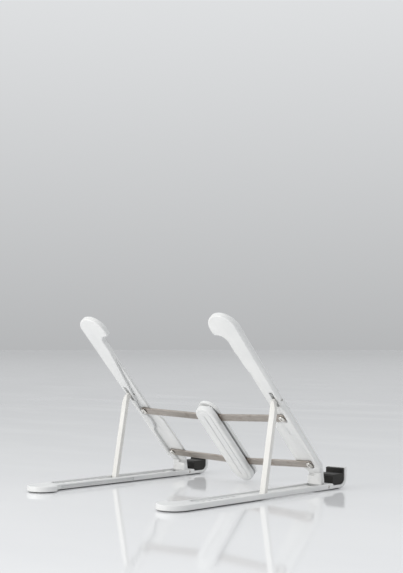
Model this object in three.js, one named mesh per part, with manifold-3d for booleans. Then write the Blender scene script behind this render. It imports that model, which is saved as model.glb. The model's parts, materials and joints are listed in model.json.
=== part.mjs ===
// A folding laptop stand: two hinged side frames joined by a four-link centre bar.
//
// Frame: millimetres, +X to the user's right, -Y towards the user, +Z up. The origin is on
// the surface the stand rests on, under the middle of the whole open stand.
// Each side frame has a base rail, an arm that hinges on it and a strut that props the arm.
// The right-hand frame is drawn, and the left-hand one is its mirror image.

import * as THREE from 'three';
import { mergeVertices } from 'three/addons/utils/BufferGeometryUtils.js';
import Module from 'manifold-3d';

const wasm = await Module();
wasm.setup();

// ---------------------------------------------------------------- driving dimensions

const outerX = 101.5;            // outer faces of the arms and rails, from the middle plane
const gap = 0.3;                 // clearance between pieces that touch or pass each other
const armAngle = THREE.MathUtils.degToRad(47.8);
const curveSteps = 10;           // straight pieces in each quarter of a round outline

// Base rail: y runs back from the arm's hinge pin, z up from the supporting surface.
const rail = {
  innerX: 79.5, bottom: 0.8, top: 5.7, pinHeight: 3.3, pinRadius: 1.2,
  headRadius: 15.75, headY: 186.5, channelInnerX: 82.3, channelFloor: 4.2, rimThickness: 1.3,
  sideRecess: { depth: 1, frontY: 79.5, low: 1.7, high: 4.3 },
};
const hook = { frontY: -28.3, thickness: 3, bendRadius: 9, height: 20, floor: 3.8, backY: -7 };

// Arm: s runs up the arm from the hinge pin, e is square to it, towards the laptop.
const arm = {
  under: 3.0, top: 8.4, headRadius: 16.2, headS: 192.3, notchS: 186.2, notchRadius: 8,
  neckX: 83.2, wideX: 74.3, wideTopS: 80, wideBottomS: 20, endS: 15.6, chamferS: 22,
  rivetX: 90.4, lowerRivetS: 25.2, rivetSpacing: 60, rivetHeadRadius: 3.3, rivetHoleRadius: 1.8,
  recessFloor: 5.2, padTop: 9.2, notchInset: 1.6, notchEase: 0.4, stepS: 164.2,
  waist: { x: 88.9, fromS: 56, lowS: 67, highS: 74, bend: 5 },
};
const lug = { innerX: 81.3, outerX: 97.3, rearY: 6.2, frontY: 3.2, footTop: 3.4, footRadius: 2.8 };

// Flat steel links: each turns on a pin in the centre bar and a rivet in the arm.
const link = { low: 3.1, high: 4.9, halfWidth: 4, barPinX: 7.5, restAngle: 2.6 };

// Strut: it hangs from a pin in the arm, and its body runs parallel to the rail when folded.
const strut = {
  pinS: 107.5, pinE: 5.4, lean: 10.75, length: 87.6, offset: 4.6, thickness: 3.8,
  innerX: 94.1, outerX: 99.9, knuckleInnerX: 93.6, knuckleOuterX: 97.0, knuckleRadius: 2,
  pinRadius: 0.9, holeRadius: 1.15,
};
// The slot lets the strut swing through the rail; behind it a deep bed takes the strut's top.
const slot = { innerX: 93.8, frontY: 17.5, rearY: 92, bedRearY: 111, bedFloor: 1.9 };
const notch = { innerX: 86, count: 7, pitch: 7.6, length: 6.2, depth: 1.7 };

// Centre bar: s and e as on the arm.
const bar = {
  halfWidth: 12, lowS: -1.5, lowerHighS: 98, upperHighS: 99.5,
  bottom: -2.3, panelBottom: -2.8, lowerTop: 2.8, upperBottom: 5.2, top: 8.6,
  spineHalfWidth: 2.8, panelHalfWidth: 7.2, pinRadius: 1.6,
};
const screw = {
  shankRadius: 1.1, headRadius: 2.2, headHeight: 1.3, places: [49, 89],
  slotHalfWidth: 0.35, slotHalfLength: 1.6, slotDepth: 0.5,
};

// ---------------------------------------------------------------- worked-out places

const upperRivetS = arm.lowerRivetS + arm.rivetSpacing;
const restAngle = THREE.MathUtils.degToRad(link.restAngle);
const linkRun = arm.rivetX - link.barPinX;
const linkLength = linkRun / Math.cos(restAngle);
const barPinDrop = linkRun * Math.tan(restAngle);
const rearEndY = rail.headY + rail.headRadius;
const hingeY = -(rearEndY + hook.frontY) / 2;
const armHeadX = outerX - arm.headRadius;
const railHeadX = outerX - rail.headRadius;
// How far a side frame moves in as the stand closes: its rail stops beside the centre bar.
const closingTravel = rail.innerX - bar.halfWidth - gap;
const closedAngle = Math.acos((arm.rivetX - closingTravel - link.barPinX) / linkLength);
const closingRise = linkLength * (Math.sin(closedAngle) + Math.sin(restAngle));
// The centre bar's lower shell lies between the folded rails: its round end sits here.
const nestedEndX = closingTravel;
const nestedEndY = bar.lowerHighS - bar.halfWidth + closingRise;

// ---------------------------------------------------------------- materials

function finish(color, roughness, metalness = 0) {
  return () => new THREE.MeshStandardMaterial({ color, roughness, metalness });
}
const whitePlastic = finish(0xecebe8, 0.42);
const warmPlastic = finish(0xe8e6df, 0.45);
const brushedSteel = finish(0xa89f96, 0.38, 1);
const brightNickel = finish(0xc9c6bf, 0.2, 1);
const darkSilicone = finish(0x1f1e1a, 0.75);
const paleSilicone = finish(0xcfcfcc, 0.7);

// ---------------------------------------------------------------- solid helpers

function solid(geometry) {
  const bare = geometry.clone();
  bare.deleteAttribute('normal');
  bare.deleteAttribute('uv');
  const merged = mergeVertices(bare, 1e-4);
  return new wasm.Manifold(new wasm.Mesh({
    numProp: 3,
    vertProperties: new Float32Array(merged.attributes.position.array),
    triVerts: new Uint32Array(merged.index.array),
  }));
}

function toGeometry(body) {
  const mesh = body.getMesh();
  const geometry = new THREE.BufferGeometry();
  geometry.setAttribute('position', new THREE.BufferAttribute(mesh.vertProperties, 3));
  geometry.setIndex(new THREE.BufferAttribute(mesh.triVerts, 1));
  return geometry;
}

function mirrored(geometry) {
  const copy = geometry.clone();
  const { position } = copy.attributes;
  for (let i = 0; i < position.count; i += 1) position.setX(i, -position.getX(i));
  const index = copy.index.array;
  for (let i = 0; i < index.length; i += 3) {
    [index[i], index[i + 1]] = [index[i + 1], index[i]];
  }
  return copy;
}

// A flat outline drawn in (x, y), raised from low to high along z.
function plate(shape, low, high) {
  const geometry = new THREE.ExtrudeGeometry(shape, {
    depth: high - low, bevelEnabled: false, curveSegments: curveSteps,
  });
  geometry.translate(0, 0, low);
  return solid(geometry);
}

// A side profile drawn in (y, z), spread from one x to another.
function sidePlate(shape, fromX, toX) {
  const geometry = new THREE.ExtrudeGeometry(shape, {
    depth: toX - fromX, bevelEnabled: false, curveSegments: curveSteps,
  });
  const turn = new THREE.Matrix4().makeBasis(
    new THREE.Vector3(0, 1, 0), new THREE.Vector3(0, 0, 1), new THREE.Vector3(1, 0, 0),
  );
  geometry.applyMatrix4(turn);
  geometry.translate(fromX, 0, 0);
  return solid(geometry);
}

function block(fromX, toX, fromY, toY, fromZ, toZ) {
  const geometry = new THREE.BoxGeometry(toX - fromX, toY - fromY, toZ - fromZ);
  geometry.translate((fromX + toX) / 2, (fromY + toY) / 2, (fromZ + toZ) / 2);
  return solid(geometry);
}

function roundAlongX(radius, fromX, toX, y, z, sides = 20) {
  const geometry = new THREE.CylinderGeometry(radius, radius, toX - fromX, sides);
  geometry.rotateZ(Math.PI / 2);
  geometry.translate((fromX + toX) / 2, y, z);
  return solid(geometry);
}

function roundAlongZ(radius, x, y, fromZ, toZ, sides = 24) {
  const geometry = new THREE.CylinderGeometry(radius, radius, toZ - fromZ, sides);
  geometry.rotateX(Math.PI / 2);
  geometry.translate(x, y, (fromZ + toZ) / 2);
  return solid(geometry);
}

function polygon(points) {
  return new THREE.Shape(points.map(([x, y]) => new THREE.Vector2(x, y)));
}

// A capsule outline along y, with its round ends inside lowY and highY.
function capsule(x, halfWidth, lowY, highY) {
  const shape = new THREE.Shape();
  shape.absarc(x, highY - halfWidth, halfWidth, 0, Math.PI, false);
  shape.absarc(x, lowY + halfWidth, halfWidth, Math.PI, 2 * Math.PI, false);
  shape.closePath();
  return shape;
}

// ---------------------------------------------------------------- base rail

function railOutline() {
  const headCorner = Math.acos((railHeadX - rail.headRadius + 0.2 - nestedEndX)
    / (bar.halfWidth + gap));
  const cornerY = nestedEndY + (bar.halfWidth + gap) * Math.sin(headCorner);
  const startAngle = Math.PI + Math.asin((rail.headY - cornerY) / rail.headRadius);
  const shape = new THREE.Shape();
  shape.moveTo(rail.innerX, hook.backY);
  shape.lineTo(rail.innerX, nestedEndY);
  shape.absarc(nestedEndX, nestedEndY, bar.halfWidth + gap, 0, headCorner, false);
  shape.absarc(railHeadX, rail.headY, rail.headRadius, startAngle, 0, true);
  shape.lineTo(outerX, hook.backY);
  shape.closePath();
  return shape;
}

// The rail's front end bends up into a hook that stops the laptop's front edge.
function hookProfile() {
  const bendY = hook.frontY + hook.bendRadius;
  const bendZ = rail.bottom + hook.bendRadius;
  const innerRadius = bendZ - hook.floor;
  const lipRadius = hook.thickness / 2;
  const lipZ = hook.height - lipRadius;
  const shape = new THREE.Shape();
  shape.moveTo(hook.backY + 1, rail.bottom);
  shape.lineTo(bendY, rail.bottom);
  shape.absarc(bendY, bendZ, hook.bendRadius, -Math.PI / 2, -Math.PI, true);
  shape.absarc(hook.frontY + lipRadius, lipZ, lipRadius, Math.PI, 0, true);
  shape.absarc(bendY, bendZ, innerRadius, Math.PI, 1.5 * Math.PI, false);
  shape.lineTo(hook.backY, hook.floor);
  shape.lineTo(hook.backY, rail.top);
  shape.lineTo(hook.backY + 1, rail.top);
  shape.closePath();
  return shape;
}

// Ramps along the rail's top take the strut's foot at lower heights.
function heightNotches() {
  const cuts = [];
  for (let i = 0; i < notch.count; i += 1) {
    const start = slot.bedRearY + (notch.pitch - notch.length) + i * notch.pitch;
    const ramp = polygon([
      [start, rail.channelFloor + gap], [start, rail.channelFloor],
      [start + notch.length, rail.channelFloor - notch.depth],
      [start + notch.length, rail.channelFloor + gap],
    ]);
    cuts.push(sidePlate(ramp, notch.innerX, outerX - rail.rimThickness));
  }
  return cuts;
}

// The lug stands in this window. Its rear edge slopes to take the lug's back when folded.
function lugWindow() {
  const frontY = -lug.footRadius - 0.7;
  const profile = polygon([
    [frontY, -1], [lug.rearY + 0.7, -1], [lug.rearY + 0.7, gap],
    [lug.rearY + 7.4, rail.top + 1], [frontY, rail.top + 1],
  ]);
  return sidePlate(profile, lug.innerX - gap, lug.outerX + gap);
}

function baseRail() {
  const rimX = outerX - rail.rimThickness;
  const channelHalf = (rimX - rail.channelInnerX) / 2;
  const channel = new THREE.Shape();
  channel.moveTo(rail.channelInnerX, lug.rearY);
  channel.lineTo(rimX, lug.rearY);
  channel.absarc(rimX - channelHalf, nestedEndY - channelHalf, channelHalf, 0, Math.PI, false);
  channel.closePath();
  const above = rail.top + 1;
  const { sideRecess } = rail;
  const frontPad = frontPadPlace();
  const cuts = [
    plate(channel, rail.channelFloor, above),
    block(slot.innerX, rimX, slot.frontY, slot.rearY, -1, above),
    block(slot.innerX, rimX, slot.rearY - 1, slot.bedRearY, slot.bedFloor, above),
    lugWindow(),
    block(rail.innerX - 1, rail.innerX + sideRecess.depth, sideRecess.frontY, nestedEndY,
      sideRecess.low, sideRecess.high),
    roundAlongX(rail.pinRadius + 0.15, rail.innerX - 1, outerX + 1, 0, rail.pinHeight),
    block(frontPad.fromX - gap, frontPad.toX + gap, frontPad.fromY - gap,
      frontPad.toY + gap, -1, footPocketTop),
    plate(rearPadOutline(gap), -1, footPocketTop),
    ...heightNotches(),
  ];
  const body = plate(railOutline(), rail.bottom, rail.top)
    .add(sidePlate(hookProfile(), rail.innerX, outerX));
  return cuts.reduce((left, cut) => left.subtract(cut), body);
}

// ---------------------------------------------------------------- rubber parts of the base

const footHeight = 1.4;
const footPocketTop = footHeight + gap;
const rearPad = { halfWidth: 9, length: 45.5, endInset: 4.75 };

function frontPadPlace() {
  const inset = 3;
  return {
    fromX: rail.innerX + inset, toX: outerX - inset,
    fromY: hook.frontY + hook.bendRadius, toY: hook.backY,
  };
}

function frontFootPad() {
  const place = frontPadPlace();
  return block(place.fromX, place.toX, place.fromY, place.toY, 0, footHeight);
}

// A long pad under the rail's rear end, drawn larger by a margin for the pocket it sits in.
function rearPadOutline(margin) {
  const rearY = rearEndY - rearPad.endInset;
  return capsule((rail.innerX + outerX) / 2, rearPad.halfWidth + margin,
    rearY - rearPad.length - margin, rearY + margin);
}

function rearFootPad() {
  return plate(rearPadOutline(0), 0, footHeight);
}

// A soft block in the hook, with a lip that pads the hook's inner face.
function hookLiner() {
  const bendY = hook.frontY + hook.bendRadius;
  const bendZ = rail.bottom + hook.bendRadius;
  const radius = bendZ - hook.floor - gap;
  const lipThickness = 2.2;
  const shelfZ = 14;
  const faceY = hook.frontY + hook.thickness + gap;
  const shape = new THREE.Shape();
  shape.moveTo(hook.backY - gap, hook.floor + gap);
  shape.lineTo(hook.backY - gap, shelfZ - 1.5);
  shape.lineTo(hook.backY - gap - 1.5, shelfZ);
  shape.lineTo(faceY + lipThickness, shelfZ);
  shape.lineTo(faceY + lipThickness, hook.height - 1.5);
  shape.lineTo(faceY, hook.height - 1);
  shape.lineTo(faceY, bendZ);
  shape.absarc(bendY, bendZ, radius, Math.PI, 1.5 * Math.PI, false);
  shape.closePath();
  return sidePlate(shape, rail.innerX + 1, outerX - 1);
}

function baseHingePin() {
  return roundAlongX(rail.pinRadius, rail.innerX + 0.2, outerX - 0.2, 0, rail.pinHeight);
}

// ---------------------------------------------------------------- arm

// The arm seen square on: round head, notch for the bar's end, neck, wide lower part.
function armOutline() {
  const startAngle = Math.PI + Math.asin((arm.headS - arm.notchS) / arm.headRadius);
  const cornerX = armHeadX + arm.headRadius * Math.cos(startAngle);
  const notchX = arm.neckX - arm.notchInset;
  const notchTop = arm.notchS - arm.notchEase;
  const bend = 5;
  const shape = new THREE.Shape();
  shape.moveTo(outerX, arm.chamferS);
  shape.lineTo(outerX, arm.headS);
  shape.absarc(armHeadX, arm.headS, arm.headRadius, 0, startAngle, false);
  shape.lineTo(cornerX + 3, notchTop);
  shape.lineTo(notchX - arm.notchRadius, notchTop);
  shape.absarc(notchX - arm.notchRadius, notchTop - arm.notchRadius, arm.notchRadius,
    Math.PI / 2, 0, true);
  shape.lineTo(notchX, arm.stepS);
  shape.lineTo(notchX + 1, arm.stepS - 1.5);
  shape.lineTo(arm.neckX + 0.4, arm.wideTopS + bend);
  shape.quadraticCurveTo(arm.neckX + 0.5, arm.wideTopS, (arm.neckX + arm.wideX) / 2,
    arm.wideTopS - bend / 2);
  shape.quadraticCurveTo(arm.wideX, arm.wideTopS - bend, arm.wideX, arm.wideTopS - 2.4 * bend);
  shape.lineTo(arm.wideX, arm.wideBottomS + 2);
  shape.lineTo(arm.wideX + 2, arm.wideBottomS);
  shape.lineTo(lug.innerX, arm.endS);
  shape.lineTo(lug.outerX, arm.endS);
  shape.closePath();
  return shape;
}

// The inner part of the underside is sunk, so that the links turn flush with the rest.
function undersideRecess() {
  const { waist } = arm;
  const reach = link.halfWidth + 1;
  const edge = arm.rivetX + reach;
  const shape = new THREE.Shape();
  shape.moveTo(arm.wideX - 10, arm.endS - 5);
  shape.lineTo(arm.rivetX - 1, arm.endS - 5);
  shape.lineTo(arm.rivetX, arm.lowerRivetS - reach);
  shape.absarc(arm.rivetX, arm.lowerRivetS, reach, -Math.PI / 2, 0, false);
  shape.lineTo(edge, waist.fromS);
  shape.bezierCurveTo(edge, waist.fromS + waist.bend, waist.x, waist.lowS - waist.bend,
    waist.x, waist.lowS);
  shape.lineTo(waist.x, waist.highS);
  shape.quadraticCurveTo(waist.x, upperRivetS - reach, edge, upperRivetS - link.halfWidth);
  shape.lineTo(edge, upperRivetS + 4);
  shape.quadraticCurveTo(edge, upperRivetS + 8, edge - 2.8, upperRivetS + 14);
  shape.lineTo(arm.neckX - 1.7, arm.stepS);
  shape.lineTo(arm.wideX - 10, arm.stepS);
  shape.closePath();
  return shape;
}

// The lug goes straight down from the arm's end into the rail, round its hinge pin.
function lugProfile() {
  const topZ = (s, e) => s * Math.sin(armAngle) + e * Math.cos(armAngle);
  const topY = (s, e) => s * Math.cos(armAngle) - e * Math.sin(armAngle);
  const joinS = arm.endS + 6;
  const frontS = (lug.frontY + arm.top * Math.sin(armAngle)) / Math.cos(armAngle);
  const shape = new THREE.Shape();
  shape.moveTo(lug.frontY, lug.footTop);
  shape.absarc(0, 0, lug.footRadius, 0.35 * Math.PI, 1.72 * Math.PI, false);
  shape.lineTo(lug.rearY, 2.4);
  shape.lineTo(lug.rearY, topZ(arm.endS, arm.under) - 1);
  shape.lineTo(topY(joinS, arm.under + 1), topZ(joinS, arm.under + 1));
  shape.lineTo(topY(joinS, arm.top), topZ(joinS, arm.top));
  shape.lineTo(lug.frontY, topZ(frontS, arm.top));
  shape.closePath();
  return shape;
}

function padOutline(place) {
  return capsule(place.x, place.halfWidth, place.lowS, place.highS);
}

const headPad = { x: armHeadX + 4, halfWidth: 6.5, lowS: 166, highS: 204 };
const lowerPad = { x: 88.4, halfWidth: 8, lowS: 30, highS: 72 };
const padRecess = 0.6;

function recessFor(place, depthFrom) {
  return plate(padOutline({
    x: place.x, halfWidth: place.halfWidth + gap, lowS: place.lowS - gap,
    highS: place.highS + gap,
  }), depthFrom, depthFrom + 5);
}

function armBody() {
  const lugSolid = sidePlate(lugProfile(), lug.innerX, lug.outerX);
  const lugInArmFrame = toGeometry(lugSolid);
  lugInArmFrame.rotateX(-armAngle);
  const chamfer = polygon([
    [outerX - 1.8, arm.under - 1], [outerX - 1.8, arm.under], [outerX, arm.under + 1.8],
    [outerX + 1, arm.under + 1.8], [outerX + 1, arm.under - 1],
  ]);
  const chamferCut = new THREE.ExtrudeGeometry(chamfer, { depth: 400, bevelEnabled: false });
  chamferCut.rotateX(Math.PI / 2);
  chamferCut.translate(0, 300, 0);
  const rivetHoles = [arm.lowerRivetS, upperRivetS].map(
    (s) => roundAlongZ(arm.rivetHoleRadius, arm.rivetX, s, arm.under - 1, arm.recessFloor + 1.4),
  );
  const pocket = block(strut.knuckleInnerX - gap, strut.knuckleOuterX + gap, strut.pinS - 7.5,
    strut.pinS + 11, arm.under - 1, strut.pinE + strut.knuckleRadius + gap);
  const cuts = [
    plate(undersideRecess(), arm.under - 1, arm.recessFloor),
    pocket,
    roundAlongX(strut.holeRadius, strut.knuckleInnerX - 3, outerX + 1, strut.pinS, strut.pinE),
    roundAlongX(rail.pinRadius + 0.2, lug.innerX - 1, lug.outerX + 1, 0, 0),
    recessFor(headPad, arm.top - padRecess),
    recessFor(lowerPad, arm.top - padRecess),
    ...rivetHoles,
  ];
  const body = plate(armOutline(), arm.under, arm.top)
    .subtract(solid(chamferCut)).add(solid(lugInArmFrame));
  return cuts.reduce((left, cut) => left.subtract(cut), body);
}

function armPad(place) {
  return plate(padOutline(place), arm.top - padRecess + gap, arm.padTop);
}

// A semi-tubular rivet: low dome under the link, dimple in its middle, shank into the arm.
function rivet(s) {
  const headLow = link.low - 1.5;
  const profile = [
    [0, headLow + 0.5], [0.9, headLow + 0.4], [1.3, headLow],
    [2.2, headLow + 0.15], [arm.rivetHeadRadius - 0.3, headLow + 0.7],
    [arm.rivetHeadRadius, link.low - 0.25], [1.5, link.low - 0.25],
    [1.5, arm.recessFloor + 1.1], [0, arm.recessFloor + 1.1],
  ].map(([x, y]) => new THREE.Vector2(x, y));
  const geometry = new THREE.LatheGeometry(profile, 24);
  geometry.rotateX(Math.PI / 2);
  geometry.translate(arm.rivetX, s, 0);
  return solid(geometry);
}

// ---------------------------------------------------------------- strut

// Drawn in its own frame: the pin is at 0, the foot is down -Y, the rear face is at low Z.
function strutBody() {
  const near = -(strut.offset - strut.thickness / 2);
  const far = -(strut.offset + strut.thickness / 2);
  const foot = -strut.length;
  const body = polygon([
    [-1.6, near], [foot, near], [foot, far + 0.8], [foot + 0.8, far], [-2.6, far],
    [0.2, far + 2.2],
  ]);
  const neck = new THREE.Shape();
  neck.absarc(0, 0, strut.knuckleRadius, -0.15 * Math.PI, 1.08 * Math.PI, false);
  neck.lineTo(-6, near - 0.4);
  neck.lineTo(-0.8, near - 0.8);
  neck.closePath();
  const shaped = sidePlate(body, strut.innerX, strut.outerX)
    .add(sidePlate(neck, strut.knuckleInnerX, strut.knuckleOuterX));
  return shaped.subtract(
    roundAlongX(strut.holeRadius, strut.knuckleInnerX - 1, strut.outerX + 1, 0, 0),
  );
}

function strutPin() {
  return roundAlongX(strut.pinRadius, strut.knuckleInnerX - 2.6, outerX - 0.2, strut.pinS,
    strut.pinE, 16);
}

// ---------------------------------------------------------------- links

// Drawn from the bar's pin at x = 0 to the arm's rivet at x = linkLength.
function linkPlate() {
  const shape = new THREE.Shape();
  shape.absarc(linkLength, 0, link.halfWidth, -Math.PI / 2, Math.PI / 2, false);
  shape.absarc(0, 0, link.halfWidth, Math.PI / 2, 1.5 * Math.PI, false);
  shape.closePath();
  return plate(shape, link.low, link.high)
    .subtract(roundAlongZ(bar.pinRadius + 0.2, 0, 0, link.low - 1, link.high + 1))
    .subtract(roundAlongZ(arm.rivetHoleRadius, linkLength, 0, link.low - 1, link.high + 1));
}

// ---------------------------------------------------------------- centre bar

const barPinPlaces = [arm.lowerRivetS - barPinDrop, upperRivetS - barPinDrop];
const barPinLow = 1.6;
const barPinHigh = 6.4;
const barPad = { x: 0, halfWidth: 7.6, lowS: 2, highS: 95 };

function barPinHoles() {
  const holes = [];
  for (const s of barPinPlaces) {
    for (const x of [-link.barPinX, link.barPinX]) {
      holes.push(roundAlongZ(bar.pinRadius + 0.2, x, s, barPinLow - gap, barPinHigh + gap));
    }
  }
  return holes;
}

function lowerShell() {
  const spineTop = bar.upperBottom - gap;
  const spine = block(-bar.spineHalfWidth, bar.spineHalfWidth, 8, 84, bar.lowerTop - 1, spineTop);
  const solidEnd = plate(capsule(0, bar.halfWidth, 40, bar.lowerHighS), bar.lowerTop - 1,
    spineTop).intersect(block(-20, 20, barPinPlaces[1] + link.halfWidth + 0.8, 120, 0, 9));
  const grooveHalfWidth = 0.45;
  const groove = block(-grooveHalfWidth, grooveHalfWidth, 8, bar.lowerHighS - 9, -3,
    bar.panelBottom + 0.7);
  const body = plate(capsule(0, bar.halfWidth, bar.lowS, bar.lowerHighS), bar.bottom,
    bar.lowerTop)
    .add(plate(capsule(0, bar.panelHalfWidth, bar.lowS + 4.2, bar.lowerHighS - 4.2),
      bar.panelBottom, bar.bottom + 0.5))
    .add(spine).add(solidEnd).subtract(groove);
  const screwHoles = screw.places.map(
    (s) => roundAlongZ(screw.shankRadius + gap, 0, s, 0.4, bar.top),
  );
  return [...barPinHoles(), ...screwHoles].reduce((left, cut) => left.subtract(cut), body);
}

function upperShell() {
  const headSeat = bar.top - padRecess - screw.headHeight - gap;
  const screwHoles = screw.places.map(
    (s) => roundAlongZ(screw.shankRadius + gap, 0, s, 0, bar.top)
      .add(roundAlongZ(screw.headRadius + gap, 0, s, headSeat - gap, bar.top + 1)),
  );
  const body = plate(capsule(0, bar.halfWidth, bar.lowS, bar.upperHighS), bar.upperBottom,
    bar.top).subtract(recessFor(barPad, bar.top - padRecess));
  return [...barPinHoles(), ...screwHoles].reduce((left, cut) => left.subtract(cut), body);
}

function barScrew(s) {
  const { slotHalfWidth, slotHalfLength } = screw;
  const headTop = bar.top - padRecess - gap;
  const slotFloor = headTop - screw.slotDepth;
  return roundAlongZ(screw.shankRadius, 0, s, 0.8, slotFloor, 16)
    .add(roundAlongZ(screw.headRadius, 0, s, headTop - screw.headHeight, headTop, 20))
    .subtract(block(-slotHalfWidth, slotHalfWidth, s - slotHalfLength, s + slotHalfLength,
      slotFloor, headTop + 1))
    .subtract(block(-slotHalfLength, slotHalfLength, s - slotHalfWidth, s + slotHalfWidth,
      slotFloor, headTop + 1));
}

// ---------------------------------------------------------------- assembly

function named(name, body, material) {
  const geometry = body.isBufferGeometry ? body : toGeometry(body);
  const mesh = new THREE.Mesh(geometry, material());
  mesh.name = name;
  return mesh;
}

const stand = new THREE.Group();
const armPlane = new THREE.Group();
armPlane.position.set(0, hingeY, rail.pinHeight);
armPlane.rotation.x = armAngle;
const ground = new THREE.Group();
ground.position.set(0, hingeY, 0);
stand.add(armPlane, ground);

// Pieces drawn once for the right-hand frame, with the group that places them.
const framePieces = [
  ['base_rail', baseRail(), whitePlastic, ground],
  ['hook_liner', hookLiner(), darkSilicone, ground],
  ['front_foot_pad', frontFootPad(), darkSilicone, ground],
  ['rear_foot_pad', rearFootPad(), darkSilicone, ground],
  ['base_hinge_pin', baseHingePin(), brightNickel, ground],
  ['arm', armBody(), whitePlastic, armPlane],
  ['arm_head_pad', armPad(headPad), paleSilicone, armPlane],
  ['arm_lower_pad', armPad(lowerPad), paleSilicone, armPlane],
  ['lower_rivet', rivet(arm.lowerRivetS), brightNickel, armPlane],
  ['upper_rivet', rivet(upperRivetS), brightNickel, armPlane],
  ['strut_pin', strutPin(), brightNickel, armPlane],
];
const strutGeometry = toGeometry(strutBody());
const linkGeometry = toGeometry(linkPlate());

for (const [side, sign] of [['left', -1], ['right', 1]]) {
  for (const [piece, body, material, place] of framePieces) {
    const geometry = toGeometry(body);
    place.add(named(`${side}_${piece}`, sign < 0 ? mirrored(geometry) : geometry, material));
  }

  const strutPlace = new THREE.Group();
  strutPlace.position.set(0, strut.pinS, strut.pinE);
  strutPlace.rotation.x = Math.PI / 2 + THREE.MathUtils.degToRad(strut.lean) - armAngle;
  const strutMesh = named(`${side}_strut`, sign < 0 ? mirrored(strutGeometry) : strutGeometry,
    warmPlastic);
  strutPlace.add(strutMesh);
  armPlane.add(strutPlace);

  barPinPlaces.forEach((s, i) => {
    const level = ['lower', 'upper'][i];
    const plateMesh = named(`${side}_${level}_link`, linkGeometry.clone(), brushedSteel);
    plateMesh.position.set(sign * link.barPinX, s, 0);
    plateMesh.rotation.z = sign > 0 ? restAngle : Math.PI - restAngle;
    armPlane.add(plateMesh);
    const pin = roundAlongZ(bar.pinRadius, sign * link.barPinX, s, barPinLow, barPinHigh);
    armPlane.add(named(`${side}_${level}_link_pin`, pin, brightNickel));
  });
}

armPlane.add(named('bar_lower_shell', lowerShell(), whitePlastic));
armPlane.add(named('bar_upper_shell', upperShell(), whitePlastic));
armPlane.add(named('bar_pad', plate(padOutline(barPad), bar.top - padRecess + gap, arm.padTop),
  paleSilicone));
screw.places.forEach((s, i) => {
  armPlane.add(named(`bar_screw_${i + 1}`, barScrew(s), brightNickel));
});

export default stand;
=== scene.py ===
"""A folding laptop stand on a pale studio floor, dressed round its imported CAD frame.

Local frames are in millimetres: u and v lie in the plane that a piece is drawn in, w is square to it.
The right-hand pieces are made, and the left-hand ones are their mirror images.
"""
import json
import math

import bmesh
import bpy
from mathutils import Matrix, Vector

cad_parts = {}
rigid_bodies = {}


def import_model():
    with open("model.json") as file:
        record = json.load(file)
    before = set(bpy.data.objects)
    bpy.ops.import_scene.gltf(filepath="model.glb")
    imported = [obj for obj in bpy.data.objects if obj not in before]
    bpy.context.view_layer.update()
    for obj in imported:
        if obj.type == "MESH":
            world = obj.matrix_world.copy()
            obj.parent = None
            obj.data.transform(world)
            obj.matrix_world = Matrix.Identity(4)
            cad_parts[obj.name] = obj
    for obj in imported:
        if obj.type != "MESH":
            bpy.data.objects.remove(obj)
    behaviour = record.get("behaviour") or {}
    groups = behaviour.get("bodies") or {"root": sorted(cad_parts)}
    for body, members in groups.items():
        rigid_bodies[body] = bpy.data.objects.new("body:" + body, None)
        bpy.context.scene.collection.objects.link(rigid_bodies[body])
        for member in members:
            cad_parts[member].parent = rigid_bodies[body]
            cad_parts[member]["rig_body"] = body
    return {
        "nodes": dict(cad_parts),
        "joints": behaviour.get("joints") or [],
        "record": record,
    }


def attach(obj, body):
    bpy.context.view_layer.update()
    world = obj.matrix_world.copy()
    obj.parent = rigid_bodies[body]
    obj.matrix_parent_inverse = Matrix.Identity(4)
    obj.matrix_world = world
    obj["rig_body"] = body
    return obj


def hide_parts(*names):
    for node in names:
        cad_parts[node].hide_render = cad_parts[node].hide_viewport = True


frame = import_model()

bpy.context.view_layer.update()

# ------------------------------------------------------------------ driving values, in mm

MM = 0.001
HAIR = 0.004                # how far a trimming envelope stands outside the part it trims
PAST = 1.0                  # how far a cutter reaches past what it cuts
FAR_PAST = 5.0              # the same, where the cutter only has to clear everything
ROUND_STEPS = 5             # steps in each rounded edge
WELD = 0.002                # points closer than this are one

ARM_UNDER, ARM_TOP, ARM_RIM = 3.0, 8.4, 1.3
RAIL_UNDER, RAIL_TOP, RAIL_INNER = 0.8, 5.7, 79.5
RAIL_UNDER_RIM, RAIL_TOP_RIM, HOOK_RIM = 0.8, 0.9, 1.0
RAIL_SIDE_RECESS = 1.0
HOOK_BACK, HOOK_OVERLAP = -7.0, 1.5
LUG_INNER, LUG_OUTER, LUG_FRONT, LUG_REAR = 81.3, 97.3, -2.8, 6.2
LUG_LOW, LUG_HIGH = -4, 30
SHOULDER_REAR, SHOULDER_LOW, SHOULDER_HIGH = LUG_REAR + 2.6, 14.5, 25
BAR_UNDER, BAR_PANEL = -2.3, -2.8
BAR_LOWER_TOP, BAR_UPPER_UNDER, BAR_TOP = 2.8, 5.2, 8.6
STRUT_LEAN = math.radians(10.75)
STRUT_INNER, STRUT_OUTER, KNUCKLE_INNER, KNUCKLE_OUTER = 94.1, 99.9, 93.6, 97.0
LINK_RIM = 0.35
FOOT_RIM, FOOT_GROOVE_WIDTH, FOOT_GROOVE_DEPTH = 0.35, 0.8, 0.3
RIB_PITCH, RIB_GROOVE_WIDTH, RIB_GROOVE_DEPTH = 2.6, 0.7, 0.35

# ------------------------------------------------------------------ local frames

ACROSS, BACK, UP = Vector((1, 0, 0)), Vector((0, 1, 0)), Vector((0, 0, 1))


def joint(name):
    return next(entry for entry in frame["joints"] if entry["name"] == name)


def local_frame(origin, u, v, w):
    """The matrix from a local frame in millimetres to the row frame in metres."""
    turn = Matrix((u, v, w)).transposed().to_4x4()
    return Matrix.Translation(origin) @ turn @ Matrix.Scale(MM, 4)


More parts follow.
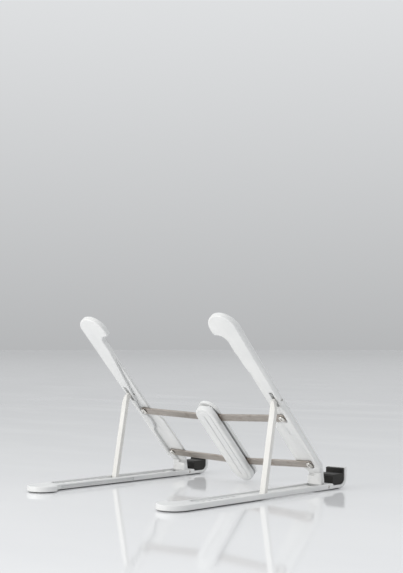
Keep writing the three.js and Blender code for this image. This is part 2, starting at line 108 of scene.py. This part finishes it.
hinge = Vector(joint("right_base_fold")["pos_m"])
arm_normal = Vector(joint("left_upper_link_swing")["axis"])
ARM = local_frame(Vector((0, hinge.y, hinge.z)), ACROSS, arm_normal.cross(ACROSS), arm_normal)
GROUND = local_frame(Vector((0, hinge.y, 0)), ACROSS, BACK, UP)
SIDE = local_frame(Vector((0, hinge.y, 0)), BACK, UP, ACROSS)
strut_pin = Vector(joint("right_strut_swing")["pos_m"])
strut_rise = Vector((0, -math.sin(STRUT_LEAN), math.cos(STRUT_LEAN)))
STRUT = local_frame(Vector((0, strut_pin.y, strut_pin.z)), ACROSS, strut_rise, ACROSS.cross(strut_rise))

# ------------------------------------------------------------------ mesh helpers


def local_solid(node, place):
    """A CAD node as a welded bmesh in a local frame."""
    mesh = frame["nodes"][node].data.copy()
    mesh.transform(place.inverted())
    solid = bmesh.new()
    solid.from_mesh(mesh)
    bmesh.ops.remove_doubles(solid, verts=solid.verts, dist=WELD)
    return solid


def as_mesh(solid):
    mesh = bpy.data.meshes.new("part")
    solid.to_mesh(mesh)
    solid.free()
    return mesh


def local_box(node, place):
    corners = [place.inverted() @ v.co for v in frame["nodes"][node].data.vertices]
    low = Vector(min(c[i] for c in corners) for i in range(3))
    high = Vector(max(c[i] for c in corners) for i in range(3))
    return low, high


def combine(first, second, operation):
    """first and second joined, cut or intersected, as a new mesh."""
    target = bpy.data.objects.new("target", first)
    tool = bpy.data.objects.new("tool", second)
    for thing in (target, tool):
        bpy.context.scene.collection.objects.link(thing)
    modifier = target.modifiers.new("cut", "BOOLEAN")
    modifier.operation = operation
    modifier.solver = "MANIFOLD"
    modifier.object = tool
    bpy.context.view_layer.update()
    depsgraph = bpy.context.evaluated_depsgraph_get()
    result = bpy.data.meshes.new_from_object(target.evaluated_get(depsgraph))
    for thing in (target, tool):
        bpy.data.objects.remove(thing)
    return result


def loop_area(loop):
    following = loop[1:] + loop[:1]
    return sum(a.x * b.y - a.y * b.x for a, b in zip(loop, following)) / 2


def tidy_loop(loop):
    """The loop without doubled points and without points on a straight line."""
    spaced = [p for p, q in zip(loop, loop[1:] + loop[:1]) if (q - p).length > 0.02]
    kept = []
    for before, point, after in zip(spaced[-1:] + spaced[:-1], spaced, spaced[1:] + spaced[:1]):
        if (point - before).angle(after - point) > math.radians(0.2):
            kept.append(point)
    return kept if loop_area(kept) > 0 else kept[::-1]


def section_loops(solid, level):
    """The closed outlines where the plane w = level cuts the solid."""
    cut = solid.copy()
    bmesh.ops.bisect_plane(
        cut, geom=cut.verts[:] + cut.edges[:] + cut.faces[:], plane_co=(0, 0, level),
        plane_no=(0, 0, 1), clear_inner=True, clear_outer=True,
    )
    bmesh.ops.remove_doubles(cut, verts=cut.verts, dist=WELD)
    loops, seen = [], set()
    for start in cut.verts:
        if start in seen or len(start.link_edges) != 2:
            continue
        loop, vert, edge = [], start, start.link_edges[0]
        while vert not in seen:
            seen.add(vert)
            loop.append(vert.co.xy.copy())
            vert = edge.other_vert(vert)
            edge = next((e for e in vert.link_edges if e is not edge), edge)
        loops.append(tidy_loop(loop))
    cut.free()
    return loops


def outline_of(node, place, level):
    """The outermost outline of a CAD node on the plane w = level of a local frame."""
    solid = local_solid(node, place)
    outline = max(section_loops(solid, level), key=loop_area)
    solid.free()
    return outline


def inset(loop, distance):
    """The loop moved inwards, or outwards where the distance is negative."""
    moved = []
    for before, point, after in zip(loop[-1:] + loop[:-1], loop, loop[1:] + loop[:1]):
        arriving, leaving = (point - before).normalized(), (after - point).normalized()
        inward = Vector((-arriving.y - leaving.y, arriving.x + leaving.x))
        moved.append(point + inward * distance / (1 + arriving.dot(leaving)))
    return moved


def edge_rings(low, high, low_radius, high_radius):
    """Levels and insets of the rings that round a plate's lower and upper edges."""
    rings = []
    for level, radius, sign in ((low, low_radius, 1), (high, high_radius, -1)):
        steps = ROUND_STEPS if radius else 0
        turns = [math.pi / 2 * i / steps for i in range(steps + 1)] if steps else [0]
        arc = [(level + sign * radius * (1 - math.cos(a)), radius * (1 - math.sin(a))) for a in turns]
        rings += arc if sign > 0 else arc[::-1]
    return rings


def rounded_plate(loop, low, high, low_radius=0, high_radius=0, swell=0):
    """A closed plate over a loop, with rounded rims; swell makes it that much bigger all round."""
    solid = bmesh.new()
    rings = []
    for level, distance in edge_rings(low - swell, high + swell, low_radius, high_radius):
        points = inset(loop, distance - swell)
        rings.append([solid.verts.new((p.x, p.y, level)) for p in points])
    count = len(loop)
    for below, above in zip(rings, rings[1:]):
        for i in range(count):
            j = (i + 1) % count
            solid.faces.new((below[i], below[j], above[j], above[i]))
    solid.faces.new(rings[0][::-1])
    solid.faces.new(rings[-1])
    return as_mesh(solid)


def rectangle(low_u, high_u, low_v, high_v):
    return [Vector(p) for p in ((low_u, low_v), (high_u, low_v), (high_u, high_v), (low_u, high_v))]


def capsule(u, half_width, low_v, high_v, steps=24):
    loop = []
    for centre, start in ((high_v - half_width, 0), (low_v + half_width, math.pi)):
        for i in range(steps + 1):
            turn = start + math.pi * i / steps
            loop.append(Vector((u + half_width * math.cos(turn), centre + half_width * math.sin(turn))))
    return loop


def moved_to(mesh, source, target):
    """A mesh drawn in one local frame, told in another."""
    mesh.transform(target.inverted() @ source)
    return mesh


def union(first, *others):
    for other in others:
        first = combine(first, other, "UNION")
    return first


def cut_by(first, *others):
    for other in others:
        first = combine(first, other, "DIFFERENCE")
    return first


def bevelled(mesh, width, angle=30, shortest=0.0):
    """A mesh with its sharp edges rounded, apart from the shortest ones."""
    solid = bmesh.new()
    solid.from_mesh(mesh)
    bmesh.ops.dissolve_limit(
        solid, angle_limit=math.radians(0.5), verts=solid.verts, edges=solid.edges,
    )
    edges = [
        e for e in solid.edges
        if e.is_manifold and e.calc_face_angle() > math.radians(angle)
        and e.calc_length() > shortest
    ]
    bmesh.ops.bevel(
        solid, geom=edges, offset=width, segments=3, profile=0.5, affect="EDGES",
        clamp_overlap=True,
    )
    return as_mesh(solid)


def lathe(profile, steps=48):
    """A closed turned solid about w from (radius, level) points that start and end on the axis."""
    solid = bmesh.new()
    first = solid.verts.new((0, 0, profile[0][1]))
    last = solid.verts.new((0, 0, profile[-1][1]))
    rings = []
    for radius, level in profile[1:-1]:
        turns = [2 * math.pi * i / steps for i in range(steps)]
        rings.append([solid.verts.new((radius * math.cos(a), radius * math.sin(a), level)) for a in turns])
    for i in range(steps):
        j = (i + 1) % steps
        solid.faces.new((first, rings[0][i], rings[0][j]))
        solid.faces.new((last, rings[-1][j], rings[-1][i]))
        for inner, outer in zip(rings, rings[1:]):
            solid.faces.new((inner[i], outer[i], outer[j], inner[j]))
    bmesh.ops.recalc_face_normals(solid, faces=solid.faces)
    return as_mesh(solid)


def arc(centre, radius, start, end, steps=6):
    """Points of a (radius, level) profile round a centre, between two angles in degrees."""
    turns = [math.radians(start + (end - start) * i / steps) for i in range(steps + 1)]
    return [(centre[0] + radius * math.cos(a), centre[1] + radius * math.sin(a)) for a in turns]


# ------------------------------------------------------------------ materials

def set_range(node, low, high, to_low, to_high):
    """Sets a Map Range node's ends."""
    limits = {"From Min": low, "From Max": high, "To Min": to_low, "To Max": to_high}
    for socket, number in limits.items():
        node.inputs[socket].default_value = number


class Shading:
    """A procedural material under construction, with short calls for the nodes that it uses."""

    def __init__(self, name, roughness, metallic=0.0, specular=0.5):
        self.material = bpy.data.materials.new(name)
        self.material.use_nodes = True
        self.tree = self.material.node_tree
        self.surface = self.tree.nodes["Principled BSDF"]
        self.surface.inputs["Roughness"].default_value = roughness
        self.surface.inputs["Metallic"].default_value = metallic
        self.surface.inputs["Specular IOR Level"].default_value = specular
        self.place = self.node("ShaderNodeTexCoord").outputs["Object"]
        self.normal = None

    def node(self, kind, links=None, **settings):
        made = self.tree.nodes.new(kind)
        for key, value in settings.items():
            if key in made.bl_rna.properties:
                setattr(made, key, value)
            else:
                made.inputs[key.replace("_", " ")].default_value = value
        for socket, source in (links or {}).items():
            self.tree.links.new(source, made.inputs[socket])
        return made

    def stretched(self, scale):
        return self.node("ShaderNodeMapping", {"Vector": self.place}, Scale=scale).outputs["Vector"]

    def noise(self, scale, detail=3.0, stretch=None):
        place = self.stretched(stretch) if stretch else self.place
        return self.node("ShaderNodeTexNoise", {"Vector": place}, Scale=scale, Detail=detail).outputs["Fac"]

    def spread(self, value, low, high, to_low=0.0, to_high=1.0):
        made = self.node("ShaderNodeMapRange", {"Value": value})
        set_range(made, low, high, to_low, to_high)
        return made.outputs["Result"]

    def mix(self, factor, first, second, blend="MIX"):
        """Mixes two colours; each is a colour or another node's output."""
        made = self.node("ShaderNodeMix", {"Factor": factor}, data_type="RGBA", blend_type=blend)
        for socket, colour in ((6, first), (7, second)):
            if isinstance(colour, tuple):
                made.inputs[socket].default_value = (*colour, 1)
            else:
                self.tree.links.new(colour, made.inputs[socket])
        return made.outputs[2]

    def bump(self, height, strength, depth):
        links = {"Height": height}
        if self.normal:
            links["Normal"] = self.normal
        made = self.node("ShaderNodeBump", links, Strength=strength, Distance=depth)
        self.normal = made.outputs["Normal"]

    def soft_edges(self, radius):
        self.normal = self.node("ShaderNodeBevel", samples=6, Radius=radius).outputs["Normal"]

    def edge_mask(self, radius):
        """1 on an edge and 0 on a flat, from how far the rounded normal turns from the true one."""
        rounded = self.node("ShaderNodeBevel", samples=6, Radius=radius).outputs["Normal"]
        true = self.node("ShaderNodeNewGeometry").outputs["Normal"]
        product = self.node("ShaderNodeVectorMath", {0: rounded, 1: true}, operation="DOT_PRODUCT")
        return self.spread(product.outputs["Value"], 0.995, 0.8)

    def painted_corner_shade_mask(self, distance):
        """1 deep in a corner and 0 in the open; it marks where shade is painted into corners."""
        made = self.node("ShaderNodeAmbientOcclusion", samples=6, Distance=distance)
        return self.spread(made.outputs["AO"], 0.75, 0.15)

    def finish(self, colour, roughness=None):
        self.tree.links.new(colour, self.surface.inputs["Base Color"])
        if roughness:
            self.tree.links.new(roughness, self.surface.inputs["Roughness"])
        if self.normal:
            self.tree.links.new(self.normal, self.surface.inputs["Normal"])
        return self.material


def moulded_plastic(name, bright, shaded, roughness):
    """Satin moulded plastic: faint flow marks, spark-eroded grain, polished edges, painted shade in
    corners.
    """
    make = Shading(name, roughness)
    flow = make.noise(38, 2.0, stretch=(1.6, 0.7, 0.7))
    colour = make.mix(make.spread(flow, 0.35, 0.65), shaded, bright)
    colour = make.mix(make.spread(make.noise(900, 2.0), 0.62, 0.8, 0, 0.25), colour, shaded)
    colour = make.mix(make.edge_mask(0.0006), colour, tuple(min(1.0, c * 1.05) for c in bright))
    # painted shade: the colour darkens deep in corners and between parts
    colour = make.mix(make.painted_corner_shade_mask(0.004), colour, tuple(c * 0.8 for c in shaded))
    finish = make.spread(make.noise(260, 3.0), 0.3, 0.7, roughness - 0.07, roughness + 0.08)
    make.soft_edges(0.00025)
    make.bump(make.noise(2600, 2.0), 0.16, 0.00006)
    make.bump(make.noise(60, 2.0), 0.05, 0.0004)
    return make.finish(colour, finish)


def brushed_steel():
    """Cold-rolled strip, brushed lengthways, with painted brown shade where it goes inside the bar."""
    make = Shading("brushed_steel", 0.34, metallic=1.0)
    grain = make.noise(1, 4.0, stretch=(40, 2600, 2600))
    colour = make.mix(make.spread(grain, 0.3, 0.7), (0.30, 0.265, 0.235), (0.52, 0.48, 0.44))
    blotch = make.noise(140, 4.0)
    colour = make.mix(make.spread(blotch, 0.52, 0.75, 0, 0.55), colour, (0.26, 0.20, 0.155))
    # painted shade: brown and darker near the middle, where the strip goes into the bar
    side = make.node("ShaderNodeSeparateXYZ", {"Vector": make.place}).outputs["X"]
    reach = make.node("ShaderNodeMath", {0: side}, operation="ABSOLUTE").outputs["Value"]
    painted_shade_in_bar = make.spread(reach, 0.019, 0.010, 0, 0.8)
    colour = make.mix(painted_shade_in_bar, colour, (0.17, 0.115, 0.08))
    colour = make.mix(make.edge_mask(0.0005), colour, (0.66, 0.62, 0.57))
    make.soft_edges(0.0002)
    make.bump(grain, 0.25, 0.00008)
    make.bump(blotch, 0.12, 0.0002)
    return make.finish(colour, make.spread(grain, 0.25, 0.75, 0.26, 0.48))


def bright_metal():
    """Nickel-plated rivet steel with fine forming marks, and painted shade in its corners."""
    make = Shading("bright_metal", 0.17, metallic=1.0)
    mottle = make.noise(700, 4.0)
    colour = make.mix(make.spread(mottle, 0.35, 0.7), (0.66, 0.64, 0.60), (0.82, 0.80, 0.76))
    # painted shade: near black in the corners round the rivet
    colour = make.mix(make.painted_corner_shade_mask(0.0015), colour, (0.10, 0.09, 0.08))
    make.bump(mottle, 0.12, 0.00008)
    return make.finish(colour, make.spread(mottle, 0.3, 0.7, 0.12, 0.26))


def silicone(name, bright, shaded, dust):
    """Matt moulded silicone: fine tooth, and pale dust that settles in its corners."""
    make = Shading(name, 0.62, specular=0.35)
    tooth = make.noise(2200, 3.0)
    colour = make.mix(make.spread(make.noise(120, 3.0), 0.35, 0.7), shaded, bright)
    colour = make.mix(make.spread(make.noise(1500, 4.0), 0.66, 0.74, 0, 0.35), colour, dust)
    colour = make.mix(make.edge_mask(0.0004), colour, tuple(min(1.0, c * 1.3 + 0.01) for c in bright))
    make.surface.inputs["Sheen Weight"].default_value = 0.12
    make.bump(tooth, 0.3, 0.0001)
    return make.finish(colour, make.spread(tooth, 0.3, 0.7, 0.52, 0.78))


def studio_floor():
    """A polished pale table: near white, with faint wipe marks."""
    make = Shading("studio_floor", 0.06, specular=0.5)
    wipe = make.noise(3, 3.0, stretch=(1.0, 2.5, 1.0))
    colour = make.mix(make.spread(wipe, 0.3, 0.7), (0.86, 0.865, 0.875), (0.90, 0.903, 0.91))
    return make.finish(colour, make.spread(wipe, 0.3, 0.7, 0.05, 0.085))


MATERIALS = {
    "white_plastic": moulded_plastic("white_plastic", (0.80, 0.80, 0.79), (0.73, 0.735, 0.73), 0.40),
    "warm_plastic": moulded_plastic("warm_plastic", (0.79, 0.78, 0.75), (0.72, 0.71, 0.68), 0.44),
    "brushed_steel": brushed_steel(),
    "bright_metal": bright_metal(),
    "dark_silicone": silicone(
        "dark_silicone", (0.020, 0.019, 0.016), (0.012, 0.011, 0.010), (0.09, 0.09, 0.085),
    ),
    "pale_silicone": silicone(
        "pale_silicone", (0.58, 0.58, 0.565), (0.50, 0.50, 0.49), (0.66, 0.66, 0.65),
    ),
}
SLOT_OF = {part["node"]: part["material_slot"] for part in frame["record"]["subparts"]}

# ------------------------------------------------------------------ pieces


def add_piece(node, mesh, place, crease=32):
    """Puts a finished mesh in the frame, in place of a CAD node, with that node's body and slot."""
    mesh.transform(place)
    solid = bmesh.new()
    solid.from_mesh(mesh)
    bmesh.ops.remove_doubles(solid, verts=solid.verts, dist=WELD * MM)
    bmesh.ops.dissolve_degenerate(solid, edges=solid.edges, dist=WELD * MM)
    if solid.calc_volume(signed=True) < 0:
        bmesh.ops.reverse_faces(solid, faces=solid.faces)
    solid.to_mesh(mesh)
    solid.free()
    for face in mesh.polygons:
        face.use_smooth = True
    mesh.set_sharp_from_angle(angle=math.radians(crease))
    piece = bpy.data.objects.new(f"{node}_surface", mesh)
    bpy.context.scene.collection.objects.link(piece)
    mesh.materials.clear()
    mesh.materials.append(MATERIALS[SLOT_OF[node]])
    weighted = piece.modifiers.new("weighted_normals", "WEIGHTED_NORMAL")
    weighted.keep_sharp = True
    weighted.weight = 100
    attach(piece, frame["nodes"][node]["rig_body"])
    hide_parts(node)
    return piece


def add_pair(part, mesh, place):
    """Adds the right-hand piece and its mirror image on the left."""
    mirror = mesh.copy()
    add_piece(f"right_{part}", mesh, place)
    flip = Matrix.Scale(-1, 4, ACROSS)
    add_piece(f"left_{part}", mirror, flip @ place)


def soften(node, place, envelope):
    """A CAD node trimmed by an envelope whose rims are rounded."""
    return combine(as_mesh(local_solid(node, place)), envelope, "INTERSECT")


def arm():
    """The arm's plate, with the lug that goes down to the hinge and the shoulder that joins them."""
    outline = outline_of("right_arm", ARM, ARM_TOP - 1.2)
    plate = rounded_plate(outline, ARM_UNDER, ARM_TOP, ARM_RIM, ARM_RIM, HAIR)
    lug_section = rectangle(LUG_INNER, LUG_OUTER, LUG_FRONT, LUG_REAR)
    lug = rounded_plate(lug_section, LUG_LOW, LUG_HIGH, swell=HAIR)
    shoulder_section = rectangle(LUG_INNER, LUG_OUTER, LUG_FRONT, SHOULDER_REAR)
    shoulder = rounded_plate(shoulder_section, SHOULDER_LOW, SHOULDER_HIGH, swell=HAIR)
    envelope = union(plate, moved_to(lug, GROUND, ARM), moved_to(shoulder, GROUND, ARM))
    add_pair("arm", soften("right_arm", ARM, envelope), ARM)


def base_rail():
    """The rail's plate, drawn from above, and its bent-up hook, drawn from the side."""
    outline = outline_of("right_base_rail", GROUND, RAIL_TOP - 0.5)
    main = rounded_plate(outline, RAIL_UNDER, RAIL_TOP, RAIL_UNDER_RIM, RAIL_TOP_RIM, HAIR)
    low, high = local_box("right_base_rail", SIDE)
    profile = outline_of("right_base_rail", SIDE, RAIL_INNER + RAIL_SIDE_RECESS + 0.25)
    hook = rounded_plate(profile, RAIL_INNER, high.z, HOOK_RIM, HOOK_RIM, HAIR)
    front = rectangle(low.x - FAR_PAST, HOOK_BACK + HOOK_OVERLAP, -FAR_PAST, high.y + FAR_PAST)
    front = rounded_plate(front, low.z - FAR_PAST, high.z + FAR_PAST)
    hook = combine(hook, front, "INTERSECT")
    envelope = union(main, moved_to(hook, SIDE, GROUND))
    add_pair("base_rail", soften("right_base_rail", GROUND, envelope), GROUND)


def strut():
    """A flat prop whose top narrows to the knuckle that turns on the pin."""
    low, high = local_box("right_strut", STRUT)
    foot, top = low.y - PAST, high.y + PAST
    knee = [
        (STRUT_INNER, foot), (STRUT_OUTER + PAST, foot), (STRUT_OUTER + PAST, -11),
        (STRUT_OUTER, -10), (STRUT_OUTER - 0.9, -6.2), (KNUCKLE_OUTER + 0.5, -2.6),
        (KNUCKLE_OUTER, -0.4), (KNUCKLE_OUTER, top), (KNUCKLE_INNER - PAST, top),
        (KNUCKLE_INNER - PAST, -7.5), (STRUT_INNER, -8.5),
    ]
    trim = rounded_plate([Vector(p) for p in knee], low.z - PAST, high.z + PAST)
    mesh = combine(as_mesh(local_solid("right_strut", STRUT)), trim, "INTERSECT")
    add_pair("strut", bevelled(mesh, 0.5, angle=20, shortest=1.2), STRUT)


def links():
    for level in ("lower", "upper"):
        node = f"right_{level}_link"
        low, high = local_box(node, ARM)
        outline = outline_of(node, ARM, (low.z + high.z) / 2)
        envelope = rounded_plate(outline, low.z, high.z, LINK_RIM, LINK_RIM, HAIR)
        add_pair(f"{level}_link", soften(node, ARM, envelope), ARM)


def centred(mesh, low, high):
    """A turned mesh moved from the w axis to the middle of a box."""
    mesh.transform(Matrix.Translation(((low.x + high.x) / 2, (low.y + high.y) / 2, 0)))
    return mesh


def rivets():
    """Semi-tubular rivets: a rolled rim round a hole, on a domed flange, with a shank."""
    roll, hole, hole_depth, shank, tip, flange_round = 0.4, 0.75, 0.9, 1.5, 0.2, 0.45
    for level in ("lower", "upper"):
        node = f"right_{level}_rivet"
        low, high = local_box(node, ARM)
        flange = (high.x - low.x) / 2
        face = low.z
        profile = [(0, face + hole_depth), (hole, face + hole_depth)]
        profile += arc((hole + roll, face + roll), roll, 180, 300, 5)
        profile += [(1.9, face + 0.2), (2.5, face + 0.42)]
        profile += arc((flange - flange_round, face + 0.95), flange_round, 290, 370, 4)
        profile += [(shank, face + 1.25), (shank, high.z - tip), (shank - tip, high.z), (0, high.z)]
        add_pair(f"{level}_rivet", centred(lathe(profile), low, high), ARM)


def pins():
    """Plain pins with chamfered ends, each along the longest side of its box."""
    for part in ("base_hinge_pin", "strut_pin", "lower_link_pin", "upper_link_pin"):
        place = ARM if "link" in part else SIDE
        low, high = local_box(f"right_{part}", place)
        radius = (high.x - low.x) / 2
        chamfer = radius * 0.2
        mesh = lathe([
            (0, low.z), (radius - chamfer, low.z), (radius, low.z + chamfer),
            (radius, high.z - chamfer), (radius - chamfer, high.z), (0, high.z),
        ], 32)
        add_pair(part, centred(mesh, low, high), place)


def ribbed(mesh, low, high):
    """A pad with grooves cut across v into its top face."""
    count = int((high.y - low.y) / RIB_PITCH) - 1
    start = (low.y + high.y - (count - 1) * RIB_PITCH) / 2
    for i in range(count):
        v = start + i * RIB_PITCH
        groove = rectangle(
            low.x - PAST, high.x + PAST, v - RIB_GROOVE_WIDTH / 2, v + RIB_GROOVE_WIDTH / 2,
        )
        mesh = cut_by(mesh, rounded_plate(groove, high.z - RIB_GROOVE_DEPTH, high.z + PAST))
    return mesh


def grip_pad(node, rim=0.3):
    low, high = local_box(node, ARM)
    middle, half = (low.x + high.x) / 2, (high.x - low.x) / 2
    mesh = rounded_plate(capsule(middle, half, low.y, high.y), low.z, high.z, 0, rim)
    return ribbed(mesh, low, high)


def grip_pads():
    add_pair("arm_head_pad", grip_pad("right_arm_head_pad"), ARM)
    add_pair("arm_lower_pad", grip_pad("right_arm_lower_pad"), ARM)
    add_piece("bar_pad", grip_pad("bar_pad"), ARM)


def foot_pads():
    """Thin pads under the rail; the long rear one has two grooves round it."""
    low, high = local_box("right_rear_foot_pad", GROUND)
    middle, half = (low.x + high.x) / 2, (high.x - low.x) / 2
    pad = rounded_plate(capsule(middle, half, low.y, high.y), low.z, high.z, FOOT_RIM, 0)
    for step in (2.5, 5.0):
        outer = capsule(middle, half - step, low.y + step, high.y - step)
        core = inset(outer, FOOT_GROOVE_WIDTH)
        groove = rounded_plate(outer, low.z - PAST, low.z + FOOT_GROOVE_DEPTH)
        pad = cut_by(pad, cut_by(groove, rounded_plate(core, low.z - 2 * PAST, low.z + 2 * PAST)))
    add_pair("rear_foot_pad", pad, GROUND)
    low, high = local_box("right_front_foot_pad", GROUND)
    pad = rounded_plate(rectangle(low.x, high.x, low.y, high.y), low.z, high.z, FOOT_RIM, 0)
    add_pair("front_foot_pad", pad, GROUND)


def hook_liner():
    low, high = local_box("right_hook_liner", SIDE)
    profile = outline_of("right_hook_liner", SIDE, (low.z + high.z) / 2)
    rim = 0.5
    add_pair("hook_liner", rounded_plate(profile, low.z, high.z, rim, rim), SIDE)


def centre_bar():
    """Two shells with the links between them; the lower one has a raised panel and a spine."""
    outline = outline_of("bar_lower_shell", ARM, (BAR_UNDER + BAR_LOWER_TOP) / 2)
    panel = outline_of("bar_lower_shell", ARM, (BAR_UNDER + BAR_PANEL) / 2)
    low, high = local_box("bar_lower_shell", ARM)
    shell = rounded_plate(outline, BAR_UNDER, BAR_LOWER_TOP, 1.9, 0.3, HAIR)
    raised = rounded_plate(panel, BAR_PANEL, BAR_UNDER + 1.5, 0.4, 0, HAIR)
    inside = rounded_plate(outline, BAR_LOWER_TOP - 0.5, high.z, 0, 0, HAIR)
    spine = rounded_plate(rectangle(-9, 9, low.y + 1, high.y - 2), 0, BAR_TOP + 0.4)
    inside = combine(inside, spine, "INTERSECT")
    add_piece("bar_lower_shell", soften("bar_lower_shell", ARM, union(shell, raised, inside)), ARM)
    outline = outline_of("bar_upper_shell", ARM, BAR_UPPER_UNDER + 0.2)
    envelope = rounded_plate(outline, BAR_UPPER_UNDER, BAR_TOP, 0.3, 1.2, HAIR)
    add_piece("bar_upper_shell", soften("bar_upper_shell", ARM, envelope), ARM)
    for number in (1, 2):
        node = f"bar_screw_{number}"
        add_piece(node, bevelled(as_mesh(local_solid(node, ARM)), 0.12, angle=50, shortest=0.6), ARM)


# ------------------------------------------------------------------ studio

CAMERA_HEADING = math.radians(43.74)
CAMERA_DISTANCE, CAMERA_SIDE, CAMERA_HEIGHT = 1.0382, 0.0130, 0.1323
CAMERA_LENS, CAMERA_RISE = 69.43, 0.1079
CAMERA_AIM = 0.0842         # the camera is placed from a point this far behind the hinges


def camera():
    forward = Vector((math.sin(CAMERA_HEADING), -math.cos(CAMERA_HEADING), 0))
    rightward = forward.cross(UP)
    data = bpy.data.cameras.new("camera")
    data.lens = CAMERA_LENS
    data.shift_y = CAMERA_RISE
    data.clip_start = 0.01
    holder = bpy.data.objects.new("camera", data)
    bpy.context.scene.collection.objects.link(holder)
    aim = BACK * (hinge.y + CAMERA_AIM)
    holder.location = aim + rightward * CAMERA_SIDE - forward * CAMERA_DISTANCE + UP * CAMERA_HEIGHT
    holder.rotation_euler = forward.to_track_quat("-Z", "Y").to_euler()
    bpy.context.scene.camera = holder
    return forward, rightward


def floor():
    mesh = bpy.data.meshes.new("floor")
    reach = 60
    corners = [(-reach, -reach, 0), (reach, -reach, 0), (reach, reach, 0), (-reach, reach, 0)]
    mesh.from_pydata(corners, [], [(0, 1, 2, 3)])
    mesh.materials.append(studio_floor())
    ground = bpy.data.objects.new("floor", mesh)
    bpy.context.scene.collection.objects.link(ground)


def soft_light(name, place, size, power, colour=(1, 1, 1)):
    data = bpy.data.lights.new(name, "AREA")
    data.size = size
    data.energy = power
    data.color = colour
    holder = bpy.data.objects.new(name, data)
    bpy.context.scene.collection.objects.link(holder)
    holder.location = place
    holder.rotation_euler = (Vector((0, 0, 0.07)) - place).to_track_quat("-Z", "Y").to_euler()


def studio_world():
    """A pale studio: brightest overhead, a little dimmer at the horizon and to the object's left."""
    world = bpy.data.worlds.new("studio")
    bpy.context.scene.world = world
    world.use_nodes = True
    tree = world.node_tree

    def graded(source, low, high, to_low, to_high):
        ramp = tree.nodes.new("ShaderNodeMapRange")
        tree.links.new(source, ramp.inputs["Value"])
        set_range(ramp, low, high, to_low, to_high)
        return ramp.outputs["Result"]

    direction = tree.nodes.new("ShaderNodeTexCoord").outputs["Generated"]
    split = tree.nodes.new("ShaderNodeSeparateXYZ")
    tree.links.new(direction, split.inputs["Vector"])
    overhead = graded(split.outputs["Z"], 0.0, 0.6, 0.52, 1.1)
    aside = graded(split.outputs["X"], -1.0, 0.0, 0.85, 1.0)
    product = tree.nodes.new("ShaderNodeMath")
    product.operation = "MULTIPLY"
    tree.links.new(overhead, product.inputs[0])
    tree.links.new(aside, product.inputs[1])
    tree.links.new(product.outputs["Value"], tree.nodes["Background"].inputs["Strength"])
    tree.nodes["Background"].inputs["Color"].default_value = (0.97, 0.985, 1.0, 1)


def studio(forward, rightward):
    studio_world()
    key_place = -rightward * 1.2 - forward * 0.6 + UP * 0.3
    soft_light("key", key_place, size=0.8, power=10, colour=(1, 0.985, 0.96))
    bpy.context.scene.view_settings.view_transform = "Standard"
    bpy.context.scene.view_settings.exposure = -0.1


arm()
base_rail()
strut()
links()
rivets()
pins()
grip_pads()
foot_pads()
hook_liner()
centre_bar()
forward, rightward = camera()
floor()
studio(forward, rightward)
